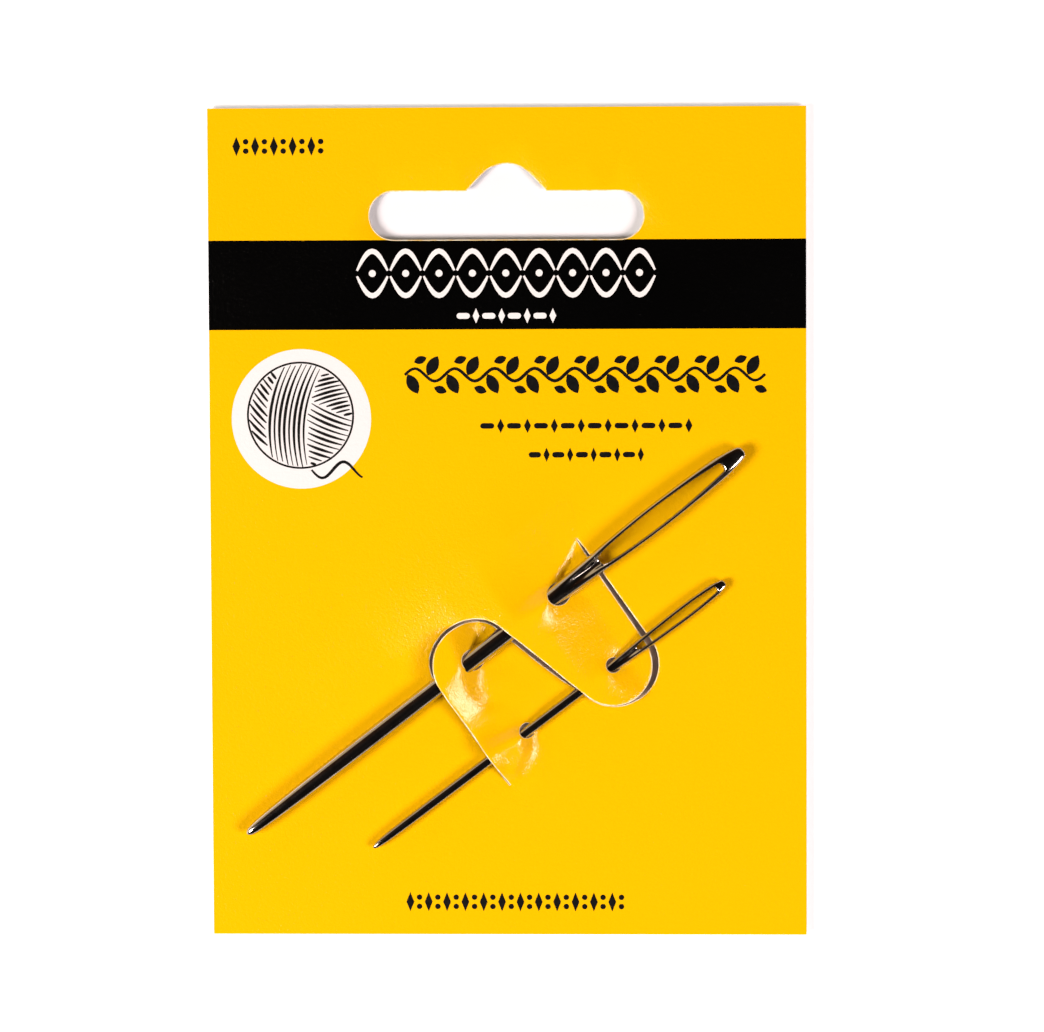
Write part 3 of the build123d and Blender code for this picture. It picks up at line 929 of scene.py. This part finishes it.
class Nodes:
    """A short way to write the nodes of a material or a world."""

    def __init__(self, owner, output="OutputMaterial"):
        self.owner = owner
        owner.use_nodes = True
        self.tree = owner.node_tree
        self.tree.nodes.clear()
        self.output = self.add(output)

    def put(self, socket, value):
        """Link an input to an output, or set its own value."""
        if isinstance(value, bpy.types.NodeSocket):
            self.tree.links.new(value, socket)
        else:
            socket.default_value = value

    def add(self, kind, inputs=None, **settings):
        node = self.tree.nodes.new("ShaderNode" + kind)
        for key, value in settings.items():
            setattr(node, key, value)
        for key, value in (inputs or {}).items():
            self.put(node.inputs[key], value)
        return node

    def math(self, operation, a, b=None):
        inputs = {0: a} if b is None else {0: a, 1: b}
        return self.add("Math", inputs, operation=operation).outputs[0]

    def mix(self, factor, a, b):
        """A colour between two colours."""
        return self.add("Mix", {0: factor, 6: a, 7: b}, data_type="RGBA").outputs[2]

    def noise(self, place, scale, detail=2.0, roughness=0.5):
        inputs = {"Vector": place, "Scale": scale, "Detail": detail, "Roughness": roughness}
        return self.add("TexNoise", inputs).outputs["Fac"]

    def spread(self, value, low, high):
        """Map a 0 to 1 value to a range."""
        return self.add("MapRange", {"Value": value, "To Min": low, "To Max": high}).outputs[0]

    def object_place(self):
        return self.add("TexCoord").outputs["Object"]

    def scaled(self, place, scale):
        return self.add("Mapping", {"Vector": place, "Scale": scale}).outputs[0]

    def ramp(self, value, stops):
        """A colour from a row of stops: place, colour."""
        node = self.add("ValToRGB", {0: value})
        elements = node.color_ramp.elements
        for element, (place, colour) in zip(elements, (stops[0], stops[-1])):
            element.position = place
            element.color = colour
        for place, colour in stops[1:-1]:
            elements.new(place).color = colour
        return node.outputs[0]

    def bump(self, height, strength, distance):
        inputs = {"Height": height, "Strength": strength, "Distance": distance}
        return self.add("Bump", inputs).outputs[0]

    def surface(self, colour, roughness, specular=0.5, **others):
        """Finish a material with one plain shader."""
        inputs = {"Base Color": colour, "Roughness": roughness, "Specular IOR Level": specular}
        return self.finish(self.add("BsdfPrincipled", inputs | others))

    def finish(self, shader):
        self.tree.links.new(shader.outputs[0], self.output.inputs["Surface"])
        return self.owner


YELLOW = (0.99, 0.545, 0.0003, 1)
YELLOW_DEEP = (0.975, 0.505, 0.0002, 1)
INK_BLACK = (0.0005, 0.0005, 0.0005, 1)
INK_WORN = (0.006, 0.005, 0.003, 1)
PAPER_WHITE = (0.88, 0.88, 0.9, 1)
PAPER_GREY = (0.8, 0.8, 0.78, 1)
LINER_CREAM = (0.95, 0.9, 0.72, 1)
LINER_STAINED = (0.9, 0.55, 0.06, 1)
CORE_LIGHT = (0.5, 0.36, 0.24, 1)
CORE_DARK = (0.32, 0.21, 0.13, 1)
BACK_DARK = (0.6, 0.58, 0.54, 1)
BACK_LIGHT = (0.72, 0.7, 0.66, 1)
NICKEL_DARK = (0.5, 0.46, 0.42, 1)
NICKEL_LIGHT = (0.6, 0.57, 0.53, 1)
TABLE_PALE = (0.88, 0.9, 0.95, 1)
# Painted shade: a brown for the table under the cut, for the warm shade seen through the cut's gaps
TABLE_PAINTED_SHADE = (0.72, 0.5, 0.34, 1)
WHITE = (1, 1, 1, 1)

# The print's black band and white disc, and the size of the band's specks
BAND_LOW = 22.72
BAND_HIGH = 33.2
SPECK_SCALE = 110.0
SPECK_SIZE = 0.016
DISC = (-24.2, 12.27)
DISC_RADIUS = 8.2


def printed_face(name):
    """Varnished board: yellow ink, a black band and a white disc."""
    n = Nodes(bpy.data.materials.new(name))
    place = n.object_place()
    split = n.add("SeparateXYZ", {"Vector": place})
    x, y = split.outputs["X"], split.outputs["Y"]
    mottle = n.noise(place, 1400.0, 3.0, 0.6)
    cloud = n.noise(place, 60.0)
    yellow = n.mix(n.spread(n.math("ADD", mottle, cloud), -0.6, 1.4), YELLOW_DEEP, YELLOW)
    low = n.math("GREATER_THAN", y, BAND_LOW * MM)
    high = n.math("LESS_THAN", y, BAND_HIGH * MM)
    cells = n.add("TexVoronoi", {"Vector": place, "Scale": SPECK_SCALE}).outputs["Distance"]
    black = n.mix(n.math("LESS_THAN", cells, SPECK_SIZE), INK_BLACK, PAPER_WHITE)
    colour = n.mix(n.math("MULTIPLY", low, high), yellow, black)
    dx = n.math("SUBTRACT", x, DISC[0] * MM)
    dy = n.math("SUBTRACT", y, DISC[1] * MM)
    far = n.math("SQRT", n.math("ADD", n.math("MULTIPLY", dx, dx), n.math("MULTIPLY", dy, dy)))
    colour = n.mix(n.math("LESS_THAN", far, DISC_RADIUS * MM), colour, PAPER_WHITE)
    peel = n.noise(place, 2600.0, 2.0, 0.55)
    grain = n.noise(place, 6500.0, 1.0)
    height = n.math("ADD", peel, n.math("MULTIPLY", grain, 0.6))
    return n.surface(colour, n.spread(cloud, 0.13, 0.2), Normal=n.bump(height, 0.8, 0.00005))


def board_liner(name):
    """The pressed rim of a cut, where the ink has cracked off the white liner."""
    n = Nodes(bpy.data.materials.new(name))
    torn = n.noise(n.object_place(), 900.0, 4.0, 0.65)
    colour = n.mix(n.spread(torn, -1.4, 2.2), LINER_CREAM, LINER_STAINED)
    return n.surface(colour, 0.6, 0.3, Normal=n.bump(torn, 0.5, 0.00003))


def board_core(name):
    """The wall of a cut: grey and brown layers of pressed paper."""
    n = Nodes(bpy.data.materials.new(name))
    place = n.object_place()
    layers = n.noise(n.scaled(place, (1, 1, 9)), 2200.0, 3.0, 0.6)
    fibres = n.noise(place, 6500.0)
    colour = n.mix(n.spread(layers, -0.4, 1.4), CORE_LIGHT, CORE_DARK)
    return n.surface(colour, 0.85, 0.2, Normal=n.bump(fibres, 0.5, 0.00002))


def board_back(name):
    """The plain uncoated back of the board, with a faint fibre."""
    n = Nodes(bpy.data.materials.new(name))
    fibres = n.noise(n.scaled(n.object_place(), (1, 3, 1)), 900.0, 4.0, 0.65)
    colour = n.mix(fibres, BACK_DARK, BACK_LIGHT)
    return n.surface(colour, 0.8, 0.25, Normal=n.bump(fibres, 0.4, 0.00003))


def ink(name, fresh, worn):
    """A layer of ink, or the bare white board that the ink leaves."""
    n = Nodes(bpy.data.materials.new(name))
    speck = n.noise(n.object_place(), 3000.0)
    colour = n.mix(n.math("POWER", speck, 3.0), fresh, worn)
    return n.surface(colour, n.spread(speck, 0.28, 0.4), 0.45)


def needle_nickel(name):
    """Polished nickel plate with fine lines along the drawn wire."""
    n = Nodes(bpy.data.materials.new(name))
    place = n.object_place()
    turn = (0, 0, -math.radians(CUT_ANGLE))
    turned_place = n.add("Mapping", {"Vector": place, "Rotation": turn}).outputs[0]
    lines = n.noise(n.scaled(turned_place, (0.04, 1, 1)), 9000.0, 3.0, 0.6)
    patches = n.noise(place, 700.0)
    colour = n.mix(patches, NICKEL_DARK, NICKEL_LIGHT)
    roughness = n.spread(n.math("ADD", lines, patches), 0.03, 0.13)
    return n.surface(colour, roughness, Metallic=1.0, Normal=n.bump(lines, 0.12, 0.00002))


# The table's own glow: under the card, and how much more beside it. Under the cut
# # the table is painted brown as painted shade, for the warm shade seen through the
# # cut's gaps; this painted-shade patch reaches this far from the cut's middle.
GLOW_UNDER = 0.03
GLOW_BESIDE = 0.42
PAINTED_SHADE_REACH = 16.0


def off_centre(n, value, centre, reach):
    """Whether a value is further from a centre than a reach."""
    return n.math("GREATER_THAN", n.math("ABSOLUTE", n.math("SUBTRACT", value, centre * MM)), reach * MM)


def table_white(name):
    """A table that is white to the camera beside the card and keeps the shadows, with painted brown shade
    under the cut.
    """
    n = Nodes(bpy.data.materials.new(name))
    paths = n.add("LightPath").outputs
    seen = n.math("MAXIMUM", paths["Is Camera Ray"], paths["Is Glossy Ray"])
    split = n.add("SeparateXYZ", {"Vector": n.object_place()})
    x, y = split.outputs["X"], split.outputs["Y"]
    wide = off_centre(n, x, 0, CARD_WIDTH / 2)
    high = off_centre(n, y, 0, CARD_HEIGHT / 2)
    share = n.math("ADD", n.math("MULTIPLY", n.math("MAXIMUM", wide, high), GLOW_BESIDE), GLOW_UNDER)
    glow = n.add("Emission", {"Color": WHITE, "Strength": n.math("MULTIPLY", seen, share)})
    # Painted shade: the table turns brown near the cut, where it is seen through the gaps in shade
    beside_x = off_centre(n, x, CUT_X, PAINTED_SHADE_REACH)
    beside_y = off_centre(n, y, CUT_Y, PAINTED_SHADE_REACH)
    colour = n.mix(n.math("MAXIMUM", beside_x, beside_y), TABLE_PAINTED_SHADE, TABLE_PALE)
    plain = n.add("BsdfDiffuse", {"Color": colour})
    return n.finish(n.add("AddShader", {0: glow.outputs[0], 1: plain.outputs[0]}))


# The object

card_materials = [
    printed_face("printed_board"),
    board_liner("board_liner"),
    board_back("board_back"),
    board_core("board_core"),
]
black_ink = ink("black_ink", INK_BLACK, INK_WORN)
bare_white = ink("bare_white", PAPER_WHITE, PAPER_GREY)
nickel = needle_nickel("needle_nickel")

card = make_card(card_materials)
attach(card, "card")
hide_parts("card")

large = make_needle(
    "large_needle_body",
    needle_place(LARGE_TIP, LARGE_ACROSS, LARGE_SKEW, LARGE_AXIS),
    LARGE_ROWS,
    LARGE_EYE,
    LARGE_GUTTER,
    nickel,
)
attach(large, "large_needle")
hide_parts("large_needle")

small = make_needle(
    "small_needle_body",
    needle_place(SMALL_TIP, SMALL_ACROSS, SMALL_SKEW, SMALL_AXIS),
    SMALL_ROWS,
    SMALL_EYE,
    SMALL_GUTTER,
    nickel,
)
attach(small, "small_needle")
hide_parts("small_needle")

# Each print: its name, its shapes from a centre, a width, a height and a count,
# and its material
prints = [
    ("print_band_cable", cable_row((-0.1, 29.3), 35.2, 5.6, 9), bare_white),
    ("print_band_stitches", running_row((-0.1, 24.3), 12.0, 2.5, 4), bare_white),
    ("print_vine", vine_row((9.1, 17.4), 42.2, 4.6, 18), black_ink),
    ("print_stitches_upper", running_row((9.2, 11.4), 25.2, 2.4, 8), black_ink),
    ("print_stitches_lower", running_row((9.2, 8.0), 13.8, 2.4, 5), black_ink),
    ("print_corner_beads", bead_row((-27.2, 44.2), 11.0, 2.5, 5), black_ink),
    ("print_foot_beads", bead_row((0.2, -44.8), 26.0, 2.5, 12), black_ink),
    ("print_disc_yarn", yarn_ball((-24.3, 12.7), 6.3), black_ink),
]
for name, shapes, material in prints:
    piece = make_ink(name, shapes, material)
    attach(piece, "card")

# Table, lights and camera

TABLE_HALF = 1500
TABLE_HEIGHT = -0.7
corners = ((-1, -1), (1, -1), (1, 1), (-1, 1))
floor = make_object(
    "table",
    [(x * TABLE_HALF, y * TABLE_HALF, TABLE_HEIGHT) for x, y in corners],
    [(0, 1, 2, 3)],
    [table_white("table_white")],
)


def softbox(name, azimuth, elevation, distance, size, radiance, colour):
    """A square soft lamp that faces the card's centre."""
    turn, rise = math.radians(azimuth), math.radians(elevation)
    place = Vector((math.cos(turn) * math.cos(rise), math.sin(turn) * math.cos(rise), math.sin(rise)))
    lamp = bpy.data.lights.new(name, "AREA")
    lamp.shape = "SQUARE"
    lamp.size = size
    lamp.color = colour
    lamp.energy = radiance * math.pi * size * size
    obj = bpy.data.objects.new(name, lamp)
    obj.location = place * distance
    obj.rotation_euler = place.to_track_quat("Z", "Y").to_euler()
    bpy.context.scene.collection.objects.link(obj)


# Two soft lamps stand low on either side, a little below the card's foot: name,
# azimuth and elevation in degrees, distance and size in metres, radiance, colour
LAMPS = [
    ("softbox_left", 200, 44, 0.72, 0.27, 23.4, (1.0, 0.91, 0.85)),
    ("softbox_right", 340, 44, 1.0, 0.375, 16.8, (1.0, 0.86, 0.83)),
]
for lamp_values in LAMPS:
    softbox(*lamp_values)

# The room's colours from the horizon up, by the sine of the elevation, towards
# the pale wall and elsewhere. The wall's middle is at an azimuth in degrees, and
# it fades in between two cosines of the angle from there.
WALL_STOPS = [
    (0.0, (0.8, 0.62, 0.4, 1)),
    (0.46, (0.7, 0.54, 0.34, 1)),
    (0.56, (0.04, 0.014, 0.006, 1)),
    (0.8, (0.028, 0.01, 0.004, 1)),
    (1.0, (0.006, 0.004, 0.003, 1)),
]
ROOM_STOPS = [
    (0.0, (0.35, 0.3, 0.22, 1)),
    (0.18, (0.3, 0.25, 0.18, 1)),
    (0.26, (0.004, 0.003, 0.003, 1)),
    (1.0, (0.004, 0.003, 0.003, 1)),
]
WALL_AZIMUTH = 127.5
WALL_FADE = (-0.1, 0.3)


def studio_world(name):
    """A dark room with a pale wall low down behind the card's upper left."""
    n = Nodes(bpy.data.worlds.new(name), "OutputWorld")
    place = n.add("TexCoord").outputs["Generated"]
    up = n.add("SeparateXYZ", {"Vector": place}).outputs["Z"]
    turn = math.radians(WALL_AZIMUTH)
    towards = (math.cos(turn), math.sin(turn), 0)
    facing = n.add("VectorMath", {0: place, 1: towards}, operation="DOT_PRODUCT").outputs["Value"]
    fade = {"Value": facing, "From Min": WALL_FADE[0], "From Max": WALL_FADE[1]}
    share = n.add("MapRange", fade).outputs[0]
    room = n.mix(share, n.ramp(up, ROOM_STOPS), n.ramp(up, WALL_STOPS))
    seen = n.mix(n.add("LightPath").outputs["Is Camera Ray"], room, WHITE)
    return n.finish(n.add("Background", {"Color": seen}))


bpy.context.scene.world = studio_world("studio")

# The camera looks almost straight down. Its distance and the place it looks at
# are in millimetres, and its tilt about each axis in degrees.
CAMERA_DISTANCE = 600.0
CAMERA_TARGET = (1.6546, 0.7773, 0.0)
CAMERA_TILT = (-3.8336, 2.3751, -0.2561)
CAMERA_LENS = 176.194

camera = bpy.data.cameras.new("camera")
camera.lens = CAMERA_LENS
camera.sensor_width = 36
camera.sensor_fit = "HORIZONTAL"
camera.clip_start = 0.01
camera_object = bpy.data.objects.new("camera", camera)
camera_object.rotation_euler = [math.radians(a) for a in CAMERA_TILT]
bpy.context.scene.collection.objects.link(camera_object)
looking = camera_object.rotation_euler.to_matrix() @ Vector((0, 0, CAMERA_DISTANCE))
camera_object.location = (Vector(CAMERA_TARGET) + looking) * MM
bpy.context.scene.camera = camera_object
bpy.context.scene.view_settings.view_transform = "Standard"
